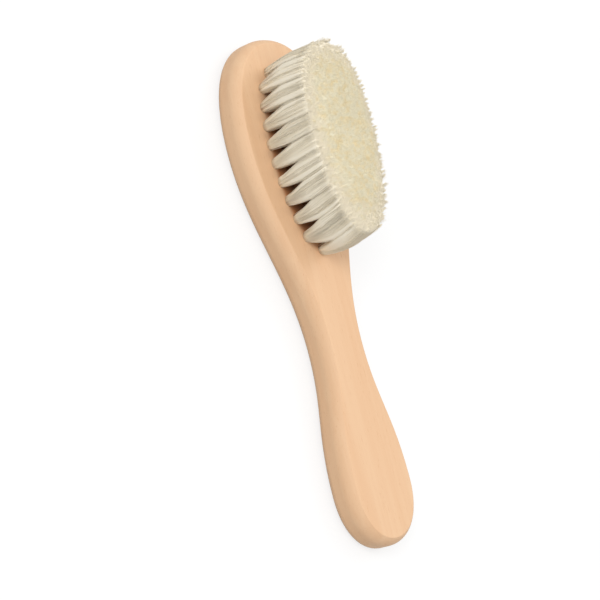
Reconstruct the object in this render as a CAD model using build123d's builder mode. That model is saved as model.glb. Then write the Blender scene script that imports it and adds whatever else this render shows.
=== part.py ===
"""Clothes brush: a one-piece wooden stock, goat-hair tufts folded into blind holes, flat-wire anchors.

Millimetres. X runs across the brush, Y along it with the head at +Y, Z up from the flat back,
so the brush lies on its back with the hair pointing up.
"""

import math
import os

from build123d import *

os.makedirs("parts", exist_ok=True)

# ---- overall sizes -------------------------------------------------------------------------
overall_length = 180.0
head_half_width = 22.7
stock_thickness = 12.1
hair_height = 26.0

# ---- outline of the stock, as fractions of the overall sizes -------------------------------
head_end_y = overall_length / 2
butt_end_y = -overall_length / 2
head_widest_y = 0.296 * overall_length
neck_y = -0.109 * overall_length
neck_half_width = 0.414 * head_half_width
grip_widest_y = -0.386 * overall_length
grip_half_width = 0.670 * head_half_width

# how far each curve runs straight on before it turns, as a fraction of its span
crown_side_pull = 0.665
crown_end_pull = 0.590
shoulder_pull = 0.392
neck_upper_pull = 0.384
neck_lower_pull = 0.405
grip_upper_pull = 0.470
butt_side_pull = 0.606
butt_end_pull = 0.562

# ---- rounding of the stock -----------------------------------------------------------------
side_round = 6.3
side_round_stops_at = math.radians(50)
back_round = 3.6
crease_round = 0.45

# ---- tuft holes and anchors ----------------------------------------------------------------
hole_diameter = 4.0
hole_depth = 7.0
tuft_clearance = 0.04
anchor_bite = 0.35
anchor_length = hole_diameter + 2 * anchor_bite
anchor_height = 1.5
anchor_turn = 45
anchor_thickness = 0.4
anchor_above_hole_floor = 1.0
anchor_clearance = 0.03

# ---- layout of the tufts -------------------------------------------------------------------
field_center_y = 0.2525 * overall_length
row_pitch = 0.0368 * overall_length
end_row_pitch = 0.0289 * overall_length
tip_center_y = 0.2650 * overall_length
tip_row_pitch = 0.0334 * overall_length
tip_spread = 1.02

# rows from the neck to the crown: tufts in the row, and the outer tuft's place as a fraction
# of the head's half width
tuft_rows = (
    (1, 0.000),
    (3, 0.245),
    (4, 0.345),
    (4, 0.415),
    (5, 0.465),
    (5, 0.495),
    (5, 0.495),
    (5, 0.475),
    (4, 0.430),
    (4, 0.360),
    (2, 0.172),
)
lone_tuft_pitch = 0.245 * head_half_width

# ---- shape of one tuft ---------------------------------------------------------------------
tip_gap = 0.3
waist_height = 0.42 * hair_height
waist_fullness = 0.85
waist_lean = 0.35
tip_shoulder_drop = 1.2
tip_top_fullness = 0.78
round_section = 2.0
packed_section = 2.7
section_points = 12


def row_y(row):
    """Height of a row along the stock; the two end rows stand closer to their neighbours."""
    middle = (len(tuft_rows) - 1) / 2
    step = row - middle
    inner = max(-(middle - 1), min(middle - 1, step))
    return field_center_y + inner * row_pitch + (step - inner) * end_row_pitch


def tip_row_y(row):
    """Height of a row of tips along the stock."""
    return tip_center_y + (row - (len(tuft_rows) - 1) / 2) * tip_row_pitch


def tuft_layout():
    """One entry for each tuft: row, place in the row, root x and y, tip x and y, tip half sizes."""
    layout = []
    for row, (count, reach) in enumerate(tuft_rows):
        outer = reach * head_half_width
        pitch = 2 * outer / (count - 1) if count > 1 else lone_tuft_pitch
        half_x = (min(pitch, 1.2 * lone_tuft_pitch) * tip_spread - tip_gap) / 2
        half_y = (tip_row_pitch - tip_gap) / 2
        for place in range(count):
            x = -outer + place * pitch
            layout.append((row, place, x, row_y(row), x * tip_spread, tip_row_y(row), half_x, half_y))
    return layout


def section_ring(x, y, half_x, half_y, power):
    """Points round a rounded section; power 2 is an ellipse, a higher power fills its corners."""
    ring = []
    for step in range(section_points):
        angle = 2 * math.pi * step / section_points
        c = math.cos(angle)
        s = math.sin(angle)
        ring_x = x + half_x * math.copysign(abs(c) ** (2 / power), c)
        ring_y = y + half_y * math.copysign(abs(s) ** (2 / power), s)
        ring.append((ring_x, ring_y))
    return ring


layout = tuft_layout()
hole_floor_z = stock_thickness - hole_depth
anchor_bottom_z = hole_floor_z + anchor_above_hole_floor
hole_places = [(x, y, stock_thickness) for _, _, x, y, _, _, _, _ in layout]
anchor_places = [Location((x, y, anchor_bottom_z), (0, 0, anchor_turn)) for _, _, x, y, _, _, _, _ in layout]
seat_places = [place * Location((0, 0, -anchor_clearance)) for place in anchor_places]

# ---- stock: head, neck and handle in one piece of wood -------------------------------------
blank_height = stock_thickness - side_round * math.sin(side_round_stops_at) + side_round

with BuildPart() as stock:
    with BuildSketch(Plane.XY):
        with BuildLine():
            Bezier(
                (0, head_end_y),
                (crown_side_pull * head_half_width, head_end_y),
                (head_half_width, head_widest_y + crown_end_pull * (head_end_y - head_widest_y)),
                (head_half_width, head_widest_y),
            )
            Bezier(
                (head_half_width, head_widest_y),
                (head_half_width, head_widest_y - shoulder_pull * (head_widest_y - neck_y)),
                (neck_half_width, neck_y + neck_upper_pull * (head_widest_y - neck_y)),
                (neck_half_width, neck_y),
            )
            Bezier(
                (neck_half_width, neck_y),
                (neck_half_width, neck_y - neck_lower_pull * (neck_y - grip_widest_y)),
                (grip_half_width, grip_widest_y + grip_upper_pull * (neck_y - grip_widest_y)),
                (grip_half_width, grip_widest_y),
            )
            Bezier(
                (grip_half_width, grip_widest_y),
                (grip_half_width, grip_widest_y - butt_side_pull * (grip_widest_y - butt_end_y)),
                (butt_end_pull * grip_half_width, butt_end_y),
                (0, butt_end_y),
            )
            mirror(about=Plane.YZ)
        make_face()
    extrude(amount=blank_height)
    fillet(stock.edges().group_by(Axis.Z)[-1], side_round)
    fillet(stock.edges().group_by(Axis.Z)[0], back_round)
    split(bisect_by=Plane.XY.offset(stock_thickness), keep=Keep.BOTTOM)
    fillet(stock.faces().sort_by(Axis.Z)[-1].edges(), crease_round)
    with Locations(*hole_places):
        Cylinder(
            hole_diameter / 2,
            hole_depth,
            align=(Align.CENTER, Align.CENTER, Align.MAX),
            mode=Mode.SUBTRACT,
        )
    with Locations(*seat_places):
        Box(
            anchor_thickness + 2 * anchor_clearance,
            anchor_length + 2 * anchor_clearance,
            anchor_height + 2 * anchor_clearance,
            align=(Align.CENTER, Align.CENTER, Align.MIN),
            mode=Mode.SUBTRACT,
        )
stock.part.label = "stock"
export_step(stock.part, "parts/stock.step")

# ---- anchors: one short flat wire pressed across the fold of each tuft -----------------------
with BuildPart() as anchor_wires:
    with Locations(*anchor_places):
        Box(
            anchor_thickness,
            anchor_length,
            anchor_height,
            align=(Align.CENTER, Align.CENTER, Align.MIN),
        )
anchor_wires.part.label = "anchor_wires"
export_step(anchor_wires.part, "parts/anchor_wires.step")

# ---- tufts: a root in the hole, a narrow foot, a waist that fills out, and a flat-cut tip ------
root_radius = hole_diameter / 2 - tuft_clearance
top_z = stock_thickness + hair_height
for (row, place, root_x, root_y, tip_x, tip_y, half_x, half_y), seat in zip(layout, seat_places):
    waist_x = root_x + waist_lean * (tip_x - root_x)
    waist_y = root_y + waist_lean * (tip_y - root_y)
    waist_half_x = waist_fullness * half_x
    waist_half_y = waist_fullness * half_y
    top_half_x = tip_top_fullness * half_x
    top_half_y = tip_top_fullness * half_y
    sections = (
        (hole_floor_z + tuft_clearance, root_x, root_y, root_radius, root_radius, round_section),
        (stock_thickness, root_x, root_y, root_radius, root_radius, round_section),
        (stock_thickness + waist_height, waist_x, waist_y, waist_half_x, waist_half_y, packed_section),
        (top_z - tip_shoulder_drop, tip_x, tip_y, half_x, half_y, packed_section),
        (top_z, tip_x, tip_y, top_half_x, top_half_y, packed_section),
    )
    with BuildPart() as tuft:
        for z, x, y, section_half_x, section_half_y, power in sections:
            with BuildSketch(Plane.XY.offset(z)):
                with BuildLine():
                    Spline(*section_ring(x, y, section_half_x, section_half_y, power), periodic=True)
                make_face()
        loft(ruled=True)
        with Locations(seat):
            Box(
                anchor_thickness + 2 * anchor_clearance,
                anchor_length,
                anchor_height + 2 * anchor_clearance,
                align=(Align.CENTER, Align.CENTER, Align.MIN),
                mode=Mode.SUBTRACT,
            )
    name = f"tuft_row{row + 1:02d}_{place + 1}"
    tuft.part.label = name
    export_step(tuft.part, f"parts/{name}.step")
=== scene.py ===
"""Looks for a clothes brush: a pale wooden stock, goat-hair tufts made strand by strand, flat-wire anchors.

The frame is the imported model. The stock and the anchors are shown as they are, with materials. Each solid
tuft is replaced by separate hairs over a packed inside, which grow out of the same hole. Lengths are in
metres, the brush's length runs along Y with its crown at +Y, and its hair stands up along Z.
"""

import math
from collections import namedtuple

import bpy
import numpy as np
from mathutils import Matrix, Vector


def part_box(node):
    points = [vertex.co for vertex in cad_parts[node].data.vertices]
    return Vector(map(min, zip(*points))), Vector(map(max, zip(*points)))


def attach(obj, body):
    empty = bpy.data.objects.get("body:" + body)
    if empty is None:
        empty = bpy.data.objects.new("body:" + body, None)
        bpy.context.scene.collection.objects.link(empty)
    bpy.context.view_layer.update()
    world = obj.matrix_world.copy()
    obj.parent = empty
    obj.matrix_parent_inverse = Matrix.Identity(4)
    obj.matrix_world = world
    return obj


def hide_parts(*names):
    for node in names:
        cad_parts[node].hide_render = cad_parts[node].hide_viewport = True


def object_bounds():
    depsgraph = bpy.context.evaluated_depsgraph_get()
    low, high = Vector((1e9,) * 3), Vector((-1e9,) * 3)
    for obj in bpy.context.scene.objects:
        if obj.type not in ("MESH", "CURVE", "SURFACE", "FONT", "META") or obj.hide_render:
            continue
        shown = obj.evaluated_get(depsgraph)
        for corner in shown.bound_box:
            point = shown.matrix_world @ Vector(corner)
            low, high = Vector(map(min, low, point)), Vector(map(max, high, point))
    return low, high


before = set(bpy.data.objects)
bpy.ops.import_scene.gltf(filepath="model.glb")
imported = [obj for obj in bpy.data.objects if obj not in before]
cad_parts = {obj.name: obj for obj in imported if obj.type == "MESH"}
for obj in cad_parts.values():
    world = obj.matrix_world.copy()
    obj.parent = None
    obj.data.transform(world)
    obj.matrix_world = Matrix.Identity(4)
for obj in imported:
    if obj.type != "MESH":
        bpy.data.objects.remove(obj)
CAD_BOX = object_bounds()
CAD_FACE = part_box("stock")[1].z
MM = 0.001

bl_info = {
    "name": "Clothes brush",
    "version": (1, 0, 0),
    "blender": (4, 5, 0),
    "location": "View3D > Sidebar > Brush",
    "description": "Wood, hair and studio for a wooden clothes brush",
    "category": "Object",
}

TUFTS = sorted(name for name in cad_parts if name.startswith("tuft_"))


# ---- colours and shader nodes ------------------------------------------------------------------


def linear(code):
    """Linear colour of an sRGB hex code such as "d9a878"."""
    parts = [int(code[i : i + 2], 16) / 255 for i in (0, 2, 4)]
    return tuple(p / 12.92 if p <= 0.04045 else ((p + 0.055) / 1.055) ** 2.4 for p in parts)


def add(material, kind, inputs=None, **settings):
    """Adds one shader node; inputs maps a socket's name or place to a value or to another socket."""
    node = material.node_tree.nodes.new(kind)
    for name, value in settings.items():
        setattr(node, name, value)
    for name, value in (inputs or {}).items():
        if isinstance(value, bpy.types.NodeSocket):
            material.node_tree.links.new(value, node.inputs[name])
        else:
            node.inputs[name].default_value = value
    return node


def blend(material, factor, low, high, mode="MIX"):
    """A colour mix of two colours or colour sockets; returns the mixed colour's socket."""
    node = add(material, "ShaderNodeMix", data_type="RGBA", blend_type=mode)
    for place, value in ((0, factor), (6, low), (7, high)):
        if isinstance(value, bpy.types.NodeSocket):
            material.node_tree.links.new(value, node.inputs[place])
        elif place:
            node.inputs[place].default_value = (*value[:3], 1)
        else:
            node.inputs[place].default_value = value
    return node.outputs[2]


def ramp(material, value, stops):
    """A grey value from 0 to 1 that follows the stops (place, grey)."""
    node = add(material, "ShaderNodeValToRGB", {0: value})
    elements = node.color_ramp.elements
    while len(elements) < len(stops):
        elements.new(0.5)
    for element, (place, grey) in zip(elements, stops):
        element.position = place
        element.color = (grey, grey, grey, 1)
    return node.outputs[0]


def times(material, value, factor):
    """The product of a grey socket and a number or another grey socket."""
    return add(material, "ShaderNodeMath", {0: value, 1: factor}, operation="MULTIPLY").outputs[0]


def new_material(name):
    """An empty node material and its output node."""
    material = bpy.data.materials.new(name)
    material.use_nodes = True
    material.node_tree.nodes.clear()
    return material, add(material, "ShaderNodeOutputMaterial")


def noise(material, across, along, up, detail=3.0, seed=0.0):
    """Noise whose spots measure the three given lengths in millimetres along X, Y and Z."""
    place = add(material, "ShaderNodeTexCoord").outputs["Object"]
    scale = (1 / (across * MM), 1 / (along * MM), 1 / (up * MM))
    mapped = add(
        material,
        "ShaderNodeMapping",
        {"Vector": place, "Scale": scale, "Location": (seed, seed * 1.7, seed * 0.6)},
    )
    node = add(material, "ShaderNodeTexNoise", {"Vector": mapped.outputs[0], "Scale": 1.0, "Detail": detail})
    return node.outputs["Fac"]


# ---- settings ----------------------------------------------------------------------------------


def colour(name, code, words):
    """A colour property that starts at an sRGB hex code."""
    return bpy.props.FloatVectorProperty(
        name=name, description=words, subtype="COLOR", size=3, min=0, max=1, default=linear(code)
    )


def size_mm(name, value, words):
    """A length property that starts at a value in millimetres."""
    return bpy.props.FloatProperty(
        name=name,
        description=words,
        subtype="DISTANCE",
        unit="LENGTH",
        min=0,
        default=value * MM,
        precision=5,
    )


def share(name, value, words):
    """A share property from 0 to 1."""
    return bpy.props.FloatProperty(
        name=name, description=words, subtype="FACTOR", min=0, max=1, default=value
    )


def angle(name, degrees, words):
    """An angle property that starts at a value in degrees."""
    return bpy.props.FloatProperty(
        name=name, description=words, subtype="ANGLE", default=math.radians(degrees)
    )


def amount(name, value, words):
    """A property without a unit that is never below 0."""
    return bpy.props.FloatProperty(name=name, description=words, min=0, default=value)


class BrushWood(bpy.types.PropertyGroup):
    """Colours of the wooden stock."""

    pale: colour("Pale wood", "eec7a0", "Colour of the wood between the grain lines")
    warm: colour("Grain", "e3b48a", "Colour of the soft lengthwise grain")
    fleck: colour("Flecks", "cf9a6c", "Colour of the short fine flecks")
    # painted shade: the next settings darken the wood between and round the tuft holes, for the shade under
    # the hair
    painted_shade: colour("Drilled wood", "c4753a", "Colour of the wood between the tuft holes")
    painted_shade_rim: size_mm("Drilled rim", 1.0, "How far that wood goes on past the middles of the outer holes")
    fleck_length: size_mm("Fleck length", 3.2, "Length of a fleck along the grain")
    grain_share: share("Grain strength", 0.25, "How strongly the fine grain lines show")
    fleck_share: share("Fleck strength", 0.45, "How strongly the flecks show")
    painted_shade_share: share("Drilled strength", 0.75, "How strongly the drilled wood shows")


class BrushHair(bpy.types.PropertyGroup):
    """Sizes and colours of the hair."""

    spacing: size_mm("Hair spacing", 0.225, "Distance from one hair's tip to the next")
    thickness: size_mm("Hair thickness", 0.16, "Thickness of one hair")
    lock_spacing: size_mm("Lock spacing", 1.25, "Distance between the small locks that the tips gather in")
    unevenness: size_mm("Unevenness", 0.08, "How much the locks differ in height")
    ragged: size_mm("Raggedness", 0.13, "How much single hairs differ in height")
    cover: size_mm("Cover", 0.25, "How deep the separate hairs lie over the packed inside of a tuft")
    pile: size_mm("Pile", 0.45, "How far the tips stand above the packed inside of a tuft")
    streak: size_mm("Streak width", 0.5, "Width of the groups of like-coloured hairs that show as streaks")
    rounding: size_mm("Edge rounding", 2.5, "How much lower the hair is cut along its edge")
    splay: size_mm("Splay", 1.4, "How far loose hairs stand out at the tips of the outer tufts")
    barrel: size_mm("Bulge", 0.7, "How far the outer hair bulges halfway up")
    closes_at: share("Closes at", 0.56, "Share of the hair's height at which neighbouring tufts meet")
    step: size_mm("Step", 0.012, "How much the packed insides of neighbouring tufts differ in height")
    crest: size_mm("Crest", 1.0, "How much higher the middle of the hair is than its mean cut")
    level_to: share("Level to", 0.50, "How far out the hair is cut level before it rounds off")
    pointed: share("Pointed locks", 0.65, "How far the hairs of an edge lock draw together at their tips")
    cut_fades_from: share("Cut fades from", 0.66, "How far out the cut ends start to lose their cream colour")
    cut_fades_to: share("Cut fades to", 0.95, "How far out the cut ends are as white as the sides")
    field_half_width: size_mm("Half width", 14.3, "Half the width of the hair at its tips")
    field_middle: size_mm("Widest place", 52.0, "How far along the brush the hair is widest")
    field_to_crown: size_mm("To the crown", 28.6, "From the widest place to the hair's end at the crown")
    field_to_neck: size_mm("To the neck", 38.0, "From the widest place to the hair's end at the neck")
    root: colour("Root colour", "e6cfae", "Colour of the hair at its foot")
    shaft: colour("Shaft colour", "fff6e1", "Colour of the hair along its length")
    # painted shade: the brown that stands for the shade on the hair deep between the tufts
    inside: colour("Inside colour", "9c6432", "Colour of the hair deep between the tufts")
    tip: colour("Tip colour", "fff8e0", "Colour of the hair's cut ends")
    tip_warm: colour("Warm tip colour", "fff0c8", "Colour of the darker spots among the cut ends")


class BrushStage(bpy.types.PropertyGroup):
    """Camera and studio."""

    swing: angle("Swing", 44.0, "Camera's turn about the brush's length")
    tilt: angle("Tilt", -4.58, "Camera's tilt towards the handle")
    roll: angle("Roll", 14.57, "Camera's turn in the picture")
    distance: size_mm("Distance", 915.9, "Distance from the camera to the middle of the brush's back")
    right: size_mm("Right", 3.2, "How far the brush's middle sits right of the view's centre")
    above: size_mm("Above", 1.25, "How far the brush's middle sits above the view's centre")
    lens: amount("Lens", 158.9, "Focal length in millimetres on a 36 mm sensor")
    key: amount("Key", 18.0, "Power of the left softbox in watts")
    side: amount("Side", 7.0, "Power of the right softbox in watts")
    fill: amount("Fill", 0.74, "Strength of the light all round")
    floor_grey: share("Floor grey", 0.32, "How much of its light the floor gives back")
    floor_lift: share("Floor lift", 0.70, "How much light is added to the floor where it is looked at")


SETTINGS = (("brush_wood", BrushWood), ("brush_hair", BrushHair), ("brush_stage", BrushStage))


# ---- the stock ---------------------------------------------------------------------------------

PORE_DEPTH = 0.02 * MM
# half the depth of the painted shade round the tuft holes, above and below the face
PAINTED_SHADE_DEPTH = 8 * MM

class BRUSH_OT_stock(bpy.types.Operator):
    """Gives the wooden stock its wood"""

    bl_idname = "brush.stock"
    bl_label = "Wooden stock"

    def execute(self, context):
        own = context.scene.brush_wood
        wood, out = new_material("pale_sanded_wood")
        # sanded and left bare, so the pores are open: a satin sheen at most, and grain that runs
        # the length of the brush and shows as rings and dots at the two ends
        broad = ramp(wood, noise(wood, 5.0, 160.0, 5.0, 2.0), ((0.35, 0.0), (0.68, 1.0)))
        lines = ramp(wood, noise(wood, 0.9, 60.0, 0.9, 3.0, 4.0), ((0.40, 0.0), (0.75, 1.0)))
        length = own.fleck_length / MM
        flecks = ramp(wood, noise(wood, 0.22, length, 0.22, 1.0, 9.0), ((0.66, 0.0), (0.78, 1.0)))
        base = blend(wood, 0.5, own.pale, own.warm)
        base = blend(wood, broad, own.pale, base)
        base = blend(wood, times(wood, lines, own.grain_share), base, own.warm)
        base = blend(wood, times(wood, flecks, own.fleck_share), base, own.fleck)
        # painted shade: between and just round the tuft holes the wood is darkened to a warm brown that
        # stands for the shade under the hair
        roots = np.array([tuft.root for tuft in tuft_shapes()])
        low, high = roots.min(0) - own.painted_shade_rim, roots.max(0) + own.painted_shade_rim
        there = add(
            wood,
            "ShaderNodeMapping",
            {
                "Vector": add(wood, "ShaderNodeTexCoord").outputs["Object"],
                "Location": (*(low + high) / 2, CAD_FACE),
                "Scale": (*(high - low) / 2, PAINTED_SHADE_DEPTH),
            },
            vector_type="TEXTURE",
        )
        ball = add(wood, "ShaderNodeTexGradient", {"Vector": there.outputs[0]}, gradient_type="SPHERICAL")
        painted_shade = ramp(wood, ball.outputs[0], ((0.0, 0.0), (0.13, 1.0)))
        base = blend(wood, times(wood, painted_shade, own.painted_shade_share), base, own.painted_shade)
        relief = add(wood, "ShaderNodeBump", {"Height": lines, "Distance": PORE_DEPTH, "Strength": 0.25})
        surface = add(
            wood,
            "ShaderNodeBsdfPrincipled",
            {"Base Color": base, "Roughness": 0.55, "Specular IOR Level": 0.35, "Normal": relief.outputs[0]},
        )
        wood.node_tree.links.new(surface.outputs[0], out.inputs[0])
        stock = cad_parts["stock"]
        stock.data.materials.clear()
        stock.data.materials.append(wood)
        return {"FINISHED"}


class BRUSH_OT_anchors(bpy.types.Operator):
    """Gives the flat-wire anchors their metal"""

    bl_idname = "brush.anchors"
    bl_label = "Anchor wires"

    def execute(self, context):
        # drawn flat and cut off, so it is bright along its faces with a faint draw line
        metal, out = new_material("drawn_flat_wire")
        grey = ramp(metal, noise(metal, 0.1, 0.1, 0.6, 2.0), ((0.3, 0.50), (0.7, 0.62)))
        surface = add(
            metal, "ShaderNodeBsdfPrincipled", {"Base Color": grey, "Metallic": 1.0, "Roughness": 0.38}
        )
        metal.node_tree.links.new(surface.outputs[0], out.inputs[0])
        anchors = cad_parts["anchor_wires"]
        anchors.data.materials.clear()
        anchors.data.materials.append(metal)
        return {"FINISHED"}


# ---- the hair ----------------------------------------------------------------------------------


# where a solid tuft leaves its hole and where it ends, and how much wider the tufts' pitch is at the wood
# than at the tips
Tuft = namedtuple("Tuft", "root radius tip half pitch")

# heights of the rings along a hair, as shares of its height; the first one lies inside the hole
RINGS = np.array([-0.05, 0.02, 0.16, 0.36, 0.56, 0.76, 0.90, 1.0])
# a hair has three sides and is turned by the golden angle from the last, so that no two look alike
HAIR_SIDES = 3
GOLDEN_ANGLE = 2.399963
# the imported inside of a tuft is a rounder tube, and the rings of its lid lie at these shares of its width
BUNDLE_SIDES = 48
LID_RINGS = (0.75, 0.5, 0.25)
# powers of the hair's egg-shaped outline
CROWN_POWER, NECK_POWER = 2.45, 2.2
# how far a single hair leans and waves, how many radians of a wave it holds, and how much it tapers
LEAN, WAVE, WAVE_TURN, TAPER = 0.10 * MM, 0.08 * MM, 7, 0.12
# share of the edge hairs that stand out on their own
LOOSE = 0.15


def vertices_of(node):
    """Vertices of a CAD node as an array of points."""
    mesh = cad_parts[node].data
    points = np.zeros(len(mesh.vertices) * 3, np.float32)
    mesh.vertices.foreach_get("co", points)
    return points.reshape(-1, 3).astype(float)


def tuft_shapes():
    """Root centre, root radius, tip centre, half sizes and pitch of each solid tuft.

    The pitch is the slope of the line fitted through all the roots against all the tips, across and along.
    """
    measured = []
    for node in TUFTS:
        points = vertices_of(node)
        foot = points[points[:, 2] < CAD_FACE + 0.1 * MM, :2]
        top = points[points[:, 2] > points[:, 2].max() - 1.5 * MM, :2]
        root, tip = (foot.min(0) + foot.max(0)) / 2, (top.min(0) + top.max(0)) / 2
        radius = (foot[:, 0].max() - foot[:, 0].min()) / 2
        measured.append((root, radius, tip, (top.max(0) - top.min(0)) / 2))
    roots, tips = (np.array([each[place] for each in measured]) for place in (0, 2))
    pitch = np.array([np.polyfit(tips[:, axis], roots[:, axis], 1)[0] for axis in (0, 1)])
    return [Tuft(*each, pitch) for each in measured]


def strands(paths, radii):
    """A closed three-sided tube along each path: rings of three points at equal turns round every path point.

    paths is hairs x rings x 3 and radii is hairs x rings. Returns points and triangles.
    """
    hairs, rings = radii.shape
    turn = np.arange(HAIR_SIDES) * (2 * math.pi / HAIR_SIDES)
    spin = (np.arange(hairs) * GOLDEN_ANGLE)[:, None] + turn[None, :]
    ring = np.stack([np.cos(spin), np.sin(spin), np.zeros_like(spin)], axis=-1)
    points = paths[:, :, None, :] + radii[:, :, None, None] * ring[:, None, :, :]
    last = (rings - 1) * HAIR_SIDES
    ends = np.array([[last, last + 1, last + 2], [2, 1, 0]])
    one = np.concatenate([walls(rings, HAIR_SIDES), ends], 0)
    faces = one[None, :, :] + (np.arange(hairs) * rings * HAIR_SIDES)[:, None, None]
    return points.reshape(-1, 3), faces.reshape(-1, 3)


def walls(rings, sides):
    """Triangles of a tube whose points are stored ring after ring, from the bottom up."""
    side = np.arange(sides)
    step = np.arange(rings - 1)[:, None] * sides
    a, b = step + side, step + (side + 1) % sides
    halves = [np.stack([a, b, b + sides], -1), np.stack([a, b + sides, a + sides], -1)]
    return np.concatenate(halves, 0).reshape(-1, 3)


def mesh_of(name, points, faces, flat, values):
    """A mesh of triangles, smooth apart from the flat ones, with one number at each point in each attribute.

    points is points x 3, faces is triangles x 3, flat has one truth value for each triangle, and values
    maps an attribute's name to its numbers.
    """
    mesh = bpy.data.meshes.new(name)
    mesh.vertices.add(len(points))
    mesh.vertices.foreach_set("co", points.astype(np.float32).ravel())
    mesh.loops.add(faces.size)
    mesh.loops.foreach_set("vertex_index", faces.astype(np.int32).ravel())
    mesh.polygons.add(len(faces))
    mesh.polygons.foreach_set("loop_start", np.arange(0, faces.size, 3, dtype=np.int32))
    mesh.update(calc_edges=True)
    mesh.polygons.foreach_set("use_smooth", ~flat)
    for key, value in values.items():
        layer = mesh.attributes.new(key, "FLOAT", "POINT")
        layer.data.foreach_set("value", value.astype(np.float32))
    return mesh


def smooth(x, low, high):
    """0 below low, 1 above high and a smooth rise between."""
    t = np.clip((x - low) / (high - low), 0, 1)
    return t * t * (3 - 2 * t)


def within(points, own):
    """How far out each point lies in the hair's outline: 0 in the middle, 1 on the edge, and the way out.

    The outline is egg-shaped: a superellipse with one length and power towards the crown and another
    towards the neck.
    """
    y = points[:, 1] - own.field_middle
    reach = np.where(y > 0, own.field_to_crown, own.field_to_neck)
    power = np.where(y > 0, CROWN_POWER, NECK_POWER)
    across = np.abs(points[:, 0]) / own.field_half_width
    length = np.abs(y) / reach
    rim = (across**power + length**power) ** (1 / power)
    way = np.stack([points[:, 0] / own.field_half_width**2, y / reach**2], -1)
    return rim, way / np.maximum(np.sqrt((way**2).sum(-1, keepdims=True)), 1e-9)


def scatter(own, spacing, jitter, rng):
    """Points inside the hair's outline on a triangular grid, each moved a little at random."""
    rows = np.arange(
        own.field_middle - own.field_to_neck, own.field_middle + own.field_to_crown, spacing * 0.866
    )
    places = np.arange(-own.field_half_width, own.field_half_width, spacing)
    y, x = np.meshgrid(rows, places, indexing="ij")
    x = x + np.where(np.arange(len(rows)) % 2, spacing / 2, 0)[:, None]
    points = np.stack([x.ravel(), y.ravel()], -1)
    points = points + rng.uniform(-jitter, jitter, points.shape) * spacing
    return points[within(points, own)[0] < 1]


def nearest(points, centres):
    """Index of the nearest centre for each point."""
    best = np.zeros(len(points), int)
    least = np.full(len(points), np.inf)
    for number, centre in enumerate(centres):
        far = ((points - centre) ** 2).sum(-1)
        closer = far < least
        best[closer] = number
        least[closer] = far[closer]
    return best


def trimmed(points, own):
    """Height at which the hair is cut at each point: level in the middle and rounded off along the edge."""
    outer = np.maximum(within(points, own)[0] - own.level_to, 0) / (1 - own.level_to)
    return (CAD_BOX[1].z + own.crest) - own.rounding * outer**2


def course(start, end, tuft, middle, up, own):
    """Where hairs run between their root points and their tip points, at each height up, from 0 to 1.

    Each hair flares away from the hole until the tufts meet, and then runs on nearly straight, while the
    whole tuft leans from its root to its tip. Above the meeting height the tufts fill their pitch, which
    is wider at the wood than at the tips. The outermost hairs bulge a little on the way.
    """
    rim, outward = within(end, own)
    edge = smooth(rim, 0.80, 1.0)
    flare = np.clip(up / own.closes_at, 0, 1)
    lean = (up**1.5)[:, :, None]
    drift = tuft.root + (middle - tuft.root) * lean
    widen = 1 + (tuft.pitch - 1) * (1 - lean)
    spread = (start - tuft.root)[:, None, :] * (1 - flare[:, :, None])
    spread = spread + (end - middle)[:, None, :] * widen * flare[:, :, None]
    bulge = outward[:, None, :] * (edge[:, None] * own.barrel * np.sin(math.pi * up))[:, :, None]
    return drift + spread + bulge


def outermost(tips, half):
    """Which tip is furthest out in each of the directions round the middle of the tips.

    Returns the unit vectors of the directions, those tips' numbers, how far out every tip is, as a share
    of the half sizes, and every tip's way out on that scale, not yet made a unit vector.
    """
    off = (tips - tips.mean(0)) / half
    angle = np.arctan2(off[:, 1], off[:, 0])
    far = np.sqrt((off**2).sum(-1))
    turn = np.arange(BUNDLE_SIDES) * (2 * math.pi / BUNDLE_SIDES)
    apart = np.abs((angle[:, None] - turn[None, :] + math.pi) % (2 * math.pi) - math.pi)
    furthest = np.where(apart < 0.12, far[:, None], 0).argmax(0)
    return np.stack([np.cos(turn), np.sin(turn)], -1), furthest, far, off


def feet(tips, tuft):
    """Where each hair starts in the hole.

    It is the same way out from the middle as the hair's tip, and the same share of the way to the edge.
    """
    _, furthest, far, off = outermost(tips, tuft.half)
    place = np.arctan2(off[:, 1], off[:, 0]) / (2 * math.pi) * BUNDLE_SIDES
    edge = far[furthest][np.round(place).astype(int) % BUNDLE_SIDES]
    share_out = np.minimum(far / edge, 1)
    return tuft.root + off / np.maximum(far, 1e-9)[:, None] * (share_out * tuft.radius)[:, None]


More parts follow.
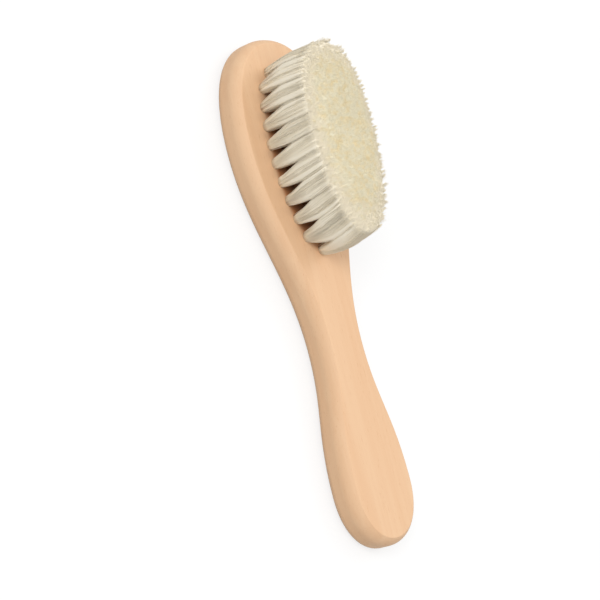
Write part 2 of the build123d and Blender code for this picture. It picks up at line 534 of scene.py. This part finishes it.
def hairs(tuft, tips, lock, own, rng):
    """One tuft's hairs as points, triangles, which triangles are flat, and values.

    Each hair ends at one of the given tips. Hairs of a lock draw together at their tips, and some of those
    along the edge stand out, most of all on the far side and towards the crown.
    """
    count = len(tips)
    lock_centre, lock_pull, lock_rise, lock_tone, lock_out = lock
    start = feet(tips, tuft)

    rim, outward = within(tips, own)
    edge = smooth(rim, 0.84, 1.0)
    end = tips + (lock_centre - tips) * lock_pull[:, None]
    rise = trimmed(tips, own) - CAD_FACE + lock_rise + rng.normal(0, own.ragged, count)
    far_side = 0.25 + 0.75 * smooth(outward[:, 0] + 0.5 * outward[:, 1], -0.3, 0.5)
    loose = (rng.random(count) < LOOSE) * rng.uniform(0.2, 1.0, count)
    stand = outward * ((lock_out + loose) * edge * far_side * own.splay)[:, None]
    gather = (lock_centre - tips) * (edge * far_side * own.pointed)[:, None]
    lean = rng.normal(0, LEAN, (count, 2))
    wave = rng.normal(0, WAVE, (count, 2))
    phase = rng.uniform(0, 2 * math.pi, count)

    s = np.broadcast_to(RINGS, (count, len(RINGS)))
    up = np.clip(s, 0, 1)
    late = (up**5)[:, :, None]
    stray = lean[:, None, :] * (up**2.4)[:, :, None] + (stand + gather)[:, None, :] * late
    ripple = wave[:, None, :] * np.sin(up * WAVE_TURN + phase[:, None])[:, :, None] * up[:, :, None]
    flat = course(start, end, tuft, tips.mean(0), up, own) + stray + ripple
    height = CAD_FACE + s * rise[:, None]
    thick = own.thickness / 2 * rng.uniform(0.8, 1.15, count)
    paths = np.concatenate([flat, height[:, :, None]], -1)
    points, faces = strands(paths, thick[:, None] * (1 - TAPER * up))
    patch = np.floor((tips - tips.min(0)) / own.streak).astype(int)
    streaks = rng.normal(0, 1, patch.max(0) + 1)[patch[:, 0], patch[:, 1]]
    tone = np.clip(0.5 + lock_tone + 0.20 * streaks + 0.12 * rng.normal(0, 1, count), 0, 1)
    heart = 1 - smooth(rim + 0.4 * lock_tone, own.cut_fades_from, own.cut_fades_to)
    values = (up.ravel(), np.repeat(tone, len(RINGS)), np.repeat(heart, len(RINGS)))
    values = [np.repeat(value, HAIR_SIDES) for value in values]
    return points, faces, np.zeros(len(faces), bool), values


def bundle(tuft, tips, sunk, own):
    """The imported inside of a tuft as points, triangles, which triangles are flat, and values.

    It is a tube along the tuft's outermost hairs. At each of its turns the tube reaches the furthest hair
    that way, so that it meets the neighbouring tufts, but along the outside of the brush it stays a little
    inside its hairs. Its flat lid lies sunk below the tips by a little and follows their cut.
    """
    middle = tips.mean(0)
    way, furthest, far, _ = outermost(tips, tuft.half)
    end = middle + way * far[furthest][:, None] * tuft.half
    outside = smooth(within(end, own)[0], 0.78, 0.90)
    overlap = 1.5 * own.spacing
    end = end + way * (overlap - (own.cover + overlap) * outside)[:, None]
    start = tuft.root + way * (tuft.radius - own.cover)
    up = np.broadcast_to(np.clip(RINGS, 0, 1), (BUNDLE_SIDES, len(RINGS)))
    flat = course(start, end, tuft, middle, up, own)
    rise = trimmed(end, own) - sunk - CAD_FACE
    height = CAD_FACE + RINGS[None, :] * rise[:, None]
    tube = np.concatenate([flat, height[:, :, None]], -1).transpose(1, 0, 2)
    lid = middle + (end - middle) * np.array(LID_RINGS)[:, None, None]
    level = trimmed(lid.reshape(-1, 2), own).reshape(lid.shape[:2]) - sunk
    lid = np.concatenate([lid, level[:, :, None]], -1)
    low = tube[0].mean(0)
    high = np.append(middle, trimmed(middle[None], own) - sunk)
    points = np.concatenate([tube.reshape(-1, 3), lid.reshape(-1, 3), [low, high]], 0)
    rings = len(RINGS) + len(LID_RINGS)
    side = np.arange(BUNDLE_SIDES)
    after = (side + 1) % BUNDLE_SIDES
    last = (rings - 1) * BUNDLE_SIDES
    centre = np.full(BUNDLE_SIDES, rings * BUNDLE_SIDES)
    foot = np.stack([after, side, centre], -1)
    cap = np.stack([last + side, last + after, centre + 1], -1)
    faces = np.concatenate([walls(rings, BUNDLE_SIDES), foot, cap], 0)
    flat_lid = (faces >= (len(RINGS) - 1) * BUNDLE_SIDES).all(-1)
    heights = np.concatenate([np.clip(RINGS, 0, 1), np.ones(len(LID_RINGS))])
    along = np.concatenate([np.repeat(heights, BUNDLE_SIDES), [0, 1]])
    heart = 1 - smooth(within(points[:, :2], own)[0], own.cut_fades_from, own.cut_fades_to)
    return points, faces, flat_lid, [along, np.full(len(points), 0.5), heart]


def hair_material(own):
    """Goat hair: washed but not bleached, so it is off-white, warmer at the foot and creamy where cut.

    It reads three attributes: along is the height from root to tip, tone sets a hair's shade, and heart is
    1 in the middle of the brush and 0 along its edge.
    """
    hair, out = new_material("goat_hair")
    along = add(hair, "ShaderNodeAttribute", attribute_name="along").outputs["Fac"]
    tone = add(hair, "ShaderNodeAttribute", attribute_name="tone").outputs["Fac"]
    heart = add(hair, "ShaderNodeAttribute", attribute_name="heart").outputs["Fac"]
    foot = ramp(hair, along, ((0.0, 1.0), (0.08, 0.0)))
    cut = ramp(hair, along, ((0.93, 0.0), (0.985, 1.0)))
    spots = ramp(hair, noise(hair, 1.7, 1.7, 6.0, 3.0), ((0.42, 0.0), (0.70, 1.0)))
    ends = blend(hair, spots, own.tip, own.tip_warm)
    body = blend(hair, foot, own.shaft, own.root)
    # painted shade: deep between the tufts, low down and away from the edge, the hair is turned brown to
    # stand for the shade there
    deep = ramp(hair, along, ((0.05, 1.0), (0.45, 0.0)))
    body = blend(hair, times(hair, deep, heart), body, own.inside)
    base = blend(hair, times(hair, cut, heart), body, ends)
    shade = ramp(hair, tone, ((0.0, 0.93), (1.0, 1.0)))
    base = blend(hair, 1.0, base, shade, "MULTIPLY")
    # smooth scales along each hair give a soft silky sheen and no sharp spark
    surface = add(
        hair, "ShaderNodeBsdfPrincipled", {"Base Color": base, "Roughness": 0.55, "Specular IOR Level": 0.25}
    )
    hair.node_tree.links.new(surface.outputs[0], out.inputs[0])
    return hair


class BRUSH_OT_tufts(bpy.types.Operator):
    """Grows the hair of every tuft out of its hole"""

    bl_idname = "brush.tufts"
    bl_label = "Hair tufts"

    def execute(self, context):
        own = context.scene.brush_hair
        shapes = tuft_shapes()
        rng = np.random.default_rng(7)
        tips = scatter(own, own.spacing, 0.42, rng)
        owner = nearest(tips, [tuft.tip for tuft in shapes])
        lock_middles = scatter(own, own.lock_spacing, 0.5, rng)
        lock_number = nearest(tips, lock_middles)
        locks = len(lock_middles)
        lock_pull = rng.uniform(0.02, 0.20, locks)
        lock_rise = rng.normal(0, own.unevenness, locks)
        lock_tone = rng.normal(0, 0.16, locks)
        lock_out = rng.uniform(0.1, 1.0, locks)
        hair = hair_material(own)
        for number, node in enumerate(TUFTS):
            mine = owner == number
            which = lock_number[mine]
            lock = [each[which] for each in (lock_middles, lock_pull, lock_rise, lock_tone, lock_out)]
            outer = hairs(shapes[number], tips[mine], lock, own, rng)
            # lids of neighbouring tufts overlap, so each lies at a depth that none of its neighbours has
            sunk = own.pile + own.step * (2 * number % 7)
            inner = bundle(shapes[number], tips[mine], sunk, own)
            points = np.concatenate([outer[0], inner[0]], 0)
            faces = np.concatenate([outer[1], inner[1] + len(outer[0])], 0)
            flat = np.concatenate([outer[2], inner[2]], 0)
            values = [np.concatenate(pair, 0) for pair in zip(outer[3], inner[3])]
            named = dict(zip(("along", "tone", "heart"), values))
            mesh = mesh_of("hair_" + node, points, faces, flat, named)
            mesh.materials.append(hair)
            piece = bpy.data.objects.new("hair_" + node, mesh)
            context.scene.collection.objects.link(piece)
            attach(piece, "root")
            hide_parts(node)
        return {"FINISHED"}


# ---- the stage ---------------------------------------------------------------------------------


FLOOR_REACH = 3.0
# the floor lies this far below the brush's flat back, because two faces in one plane show as stripes
FLOOR_GAP = 0.05 * MM
LAMP_DISTANCE = 2.2
LAMP_WIDTH = 1.25


def softbox(scene, name, toward, power):
    """A round area lamp that stands in a direction from the brush and faces it."""
    data = bpy.data.lights.new(name, "AREA")
    data.shape = "DISK"
    data.size = LAMP_WIDTH
    data.energy = power
    lamp = bpy.data.objects.new(name, data)
    direction = Vector(toward).normalized()
    lamp.location = direction * LAMP_DISTANCE
    lamp.rotation_mode = "QUATERNION"
    lamp.rotation_quaternion = direction.to_track_quat("Z", "Y")
    scene.collection.objects.link(lamp)


def looked_at(material):
    """1 for what the camera sees, in gloss and through glass too, and 0 for the light on other things."""
    path = add(material, "ShaderNodeLightPath").outputs
    seen = path["Is Camera Ray"]
    for ray in ("Is Glossy Ray", "Is Transmission Ray"):
        seen = add(material, "ShaderNodeMath", {0: seen, 1: path[ray]}, operation="MAXIMUM").outputs[0]
    return seen


class BRUSH_OT_stage(bpy.types.Operator):
    """Sets the pale floor, the lamps and the camera"""

    bl_idname = "brush.stage"
    bl_label = "Stage"

    def execute(self, context):
        own = context.scene.brush_stage
        scene = context.scene

        mesh = bpy.data.meshes.new("floor")
        turns = ((-1, -1), (1, -1), (1, 1), (-1, 1))
        corners = [(x * FLOOR_REACH, y * FLOOR_REACH, -FLOOR_GAP) for x, y in turns]
        mesh.from_pydata(corners, [], [(0, 1, 2, 3)])
        floor = bpy.data.objects.new("floor", mesh)
        scene.collection.objects.link(floor)
        # matt white card: it takes the brush's shadow, and is lifted to white only where it is looked at
        card, out = new_material("white_card")
        lift = times(card, looked_at(card), own.floor_lift)
        glow = add(card, "ShaderNodeEmission", {"Color": (1, 1, 1, 1), "Strength": lift})
        matt = add(card, "ShaderNodeBsdfDiffuse", {"Color": (*[own.floor_grey] * 3, 1)})
        both = add(card, "ShaderNodeAddShader", {0: matt.outputs[0], 1: glow.outputs[0]})
        card.node_tree.links.new(both.outputs[0], out.inputs[0])
        mesh.materials.append(card)

        # the same white all round, which lights the brush less than it shows
        world = bpy.data.worlds.new("studio")
        scene.world = world
        world.use_nodes = True
        world.node_tree.nodes.clear()
        span = add(
            world, "ShaderNodeMapRange", {"Value": looked_at(world), "To Min": own.fill, "To Max": 1.0}
        )
        sky = add(world, "ShaderNodeBackground", {"Color": (1, 1, 1, 1), "Strength": span.outputs[0]})
        end = add(world, "ShaderNodeOutputWorld")
        world.node_tree.links.new(sky.outputs[0], end.inputs[0])

        softbox(scene, "left_softbox", (-0.66, 0.28, 0.70), own.key)
        softbox(scene, "right_softbox", (0.66, 0.28, 0.70), own.side)

        # the camera looks down on the brush, turned about its length, then tilted, then rolled
        swing, tilt, roll = (
            Matrix.Rotation(turned, 3, axis)
            for turned, axis in ((own.swing, "Y"), (own.tilt, "X"), (own.roll, "Z"))
        )
        turn = roll @ tilt @ swing
        data = bpy.data.cameras.new("camera")
        data.sensor_width = 36
        data.lens = own.lens
        data.clip_start = 0.01
        data.clip_end = 20
        camera = bpy.data.objects.new("camera", data)
        spot = turn.transposed() @ Vector((-own.right, -own.above, own.distance))
        camera.matrix_world = Matrix.Translation(spot) @ turn.transposed().to_4x4()
        scene.collection.objects.link(camera)
        scene.camera = camera
        scene.view_settings.view_transform = "Standard"
        return {"FINISHED"}


# ---- add-on --------------------------------------------------------------------------------------


class BRUSH_PT_panel(bpy.types.Panel):
    """Lists the brush's operators and settings."""

    bl_idname = "BRUSH_PT_panel"
    bl_label = "Clothes brush"
    bl_space_type = "VIEW_3D"
    bl_region_type = "UI"
    bl_category = "Brush"

    def draw(self, context):
        for operator in OPERATORS:
            self.layout.operator(operator.bl_idname)
        for name, group in SETTINGS:
            own = getattr(context.scene, name)
            for key in group.__annotations__:
                self.layout.prop(own, key)


OPERATORS = (BRUSH_OT_stock, BRUSH_OT_anchors, BRUSH_OT_tufts, BRUSH_OT_stage)


def register():
    for name, group in SETTINGS:
        bpy.utils.register_class(group)
        setattr(bpy.types.Scene, name, bpy.props.PointerProperty(type=group))
    for operator in OPERATORS:
        bpy.utils.register_class(operator)
    bpy.utils.register_class(BRUSH_PT_panel)


def unregister():
    bpy.utils.unregister_class(BRUSH_PT_panel)
    for operator in reversed(OPERATORS):
        bpy.utils.unregister_class(operator)
    for name, group in reversed(SETTINGS):
        delattr(bpy.types.Scene, name)
        bpy.utils.unregister_class(group)


def main():
    register()
    bpy.ops.brush.stock()
    bpy.ops.brush.anchors()
    bpy.ops.brush.tufts()
    bpy.ops.brush.stage()


if __name__ == "__main__":
    main()
